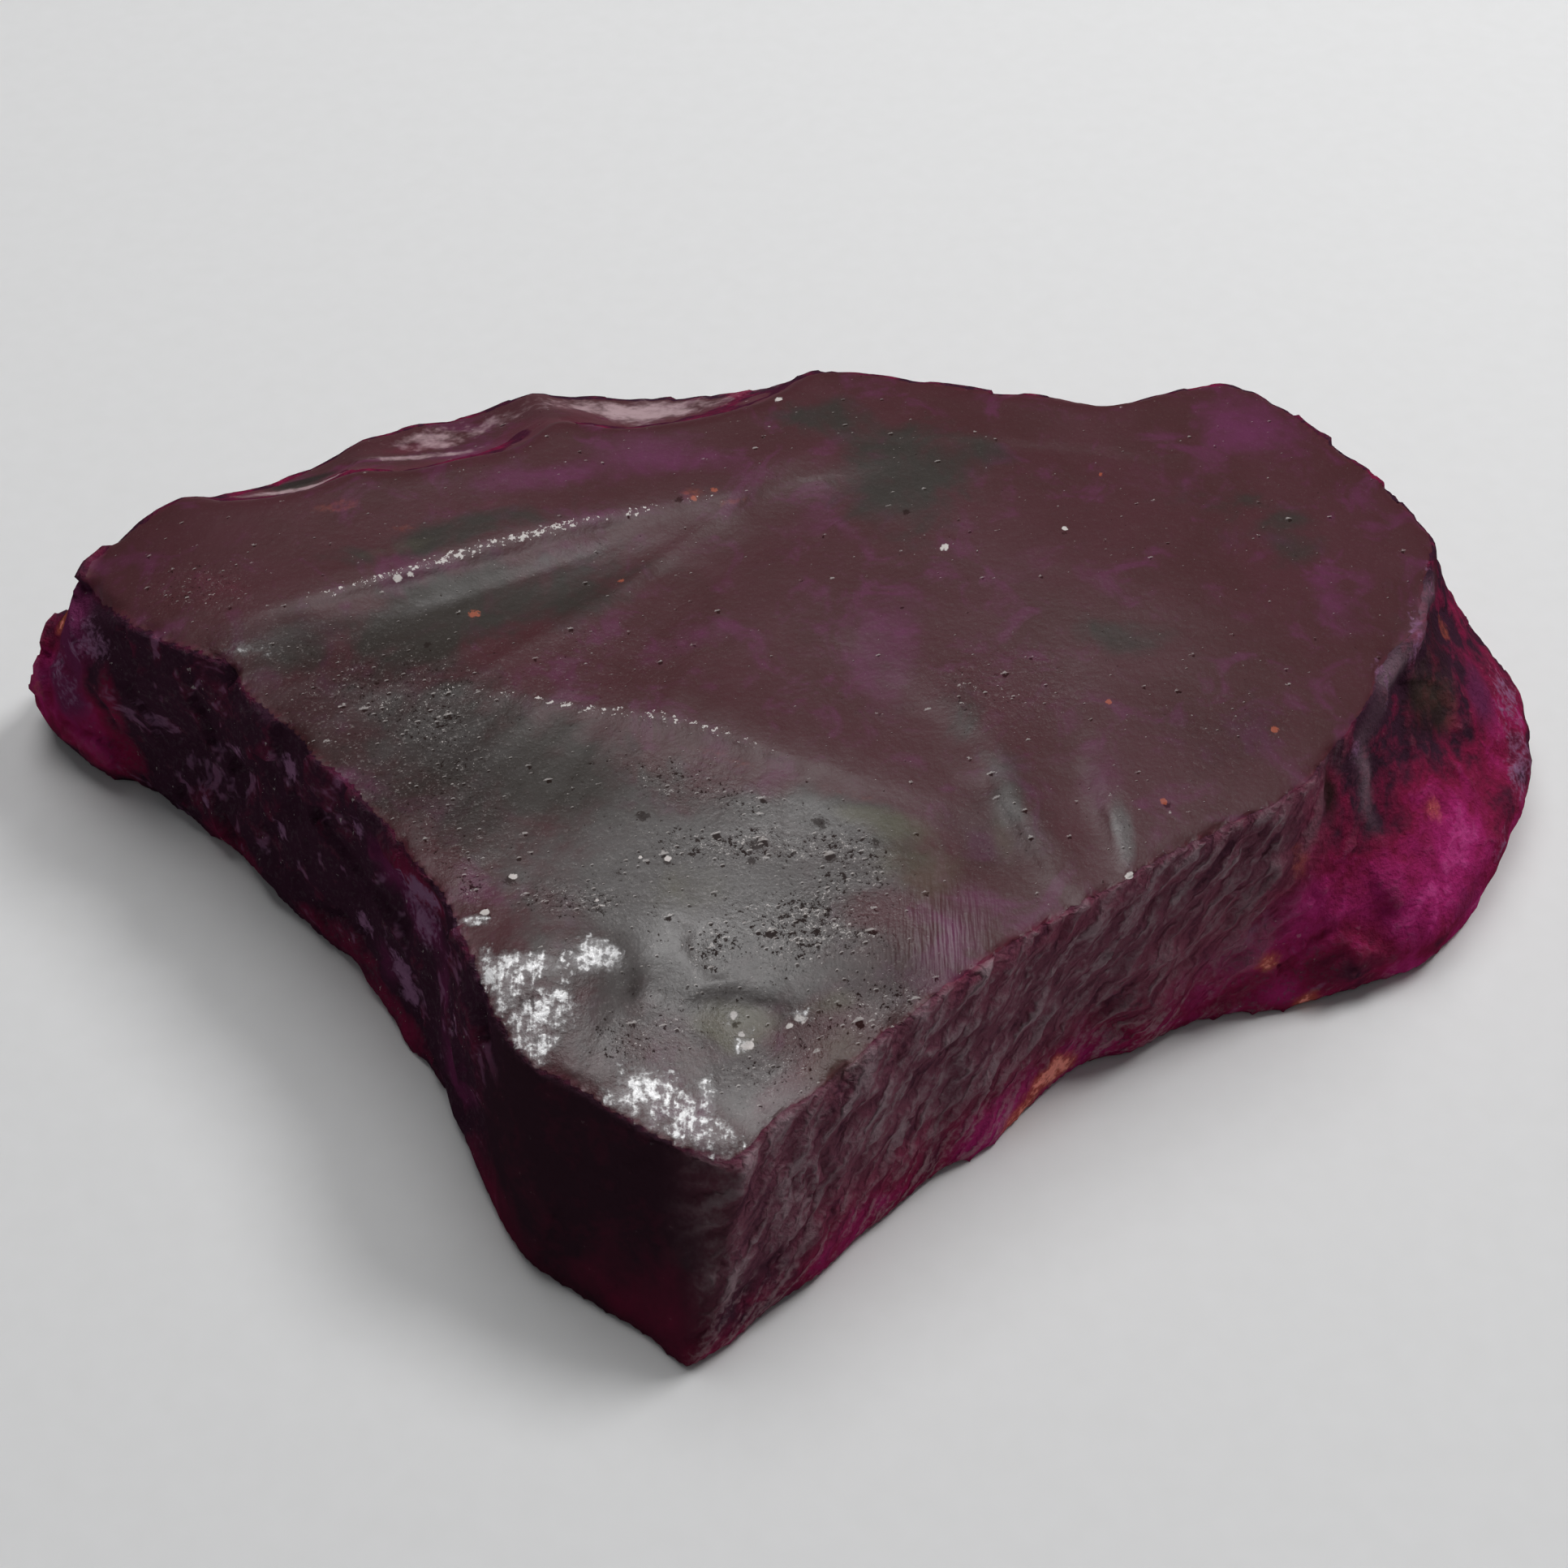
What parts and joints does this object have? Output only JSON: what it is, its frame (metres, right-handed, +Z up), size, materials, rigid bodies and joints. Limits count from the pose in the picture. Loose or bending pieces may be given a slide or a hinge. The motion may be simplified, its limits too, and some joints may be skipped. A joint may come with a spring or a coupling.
{
  "type": "raw sapphire crystal",
  "caption": "Rough tabular corundum slab, dark purple, with a hackled top face, ridged and broken flanks, and a flat parting face to rest on.",
  "frame": {"origin": "on the flat resting face, in the middle of the bounding box", "axes": "+X along the longest extent, from the thin left tip to the right lobe; +Y from the sharp front corner to the flaked back edge; +Z up, through the thickness"},
  "size_m": [0.0574, 0.0404, 0.0093],
  "materials": {
    "sapphire": "vitreous to greasy broken crystal, dark plum where it is thick and magenta where it is thin"
  },
  "bodies": {
    "root": {"sapphire_crystal": "sapphire"}
  },
  "joints": []
}
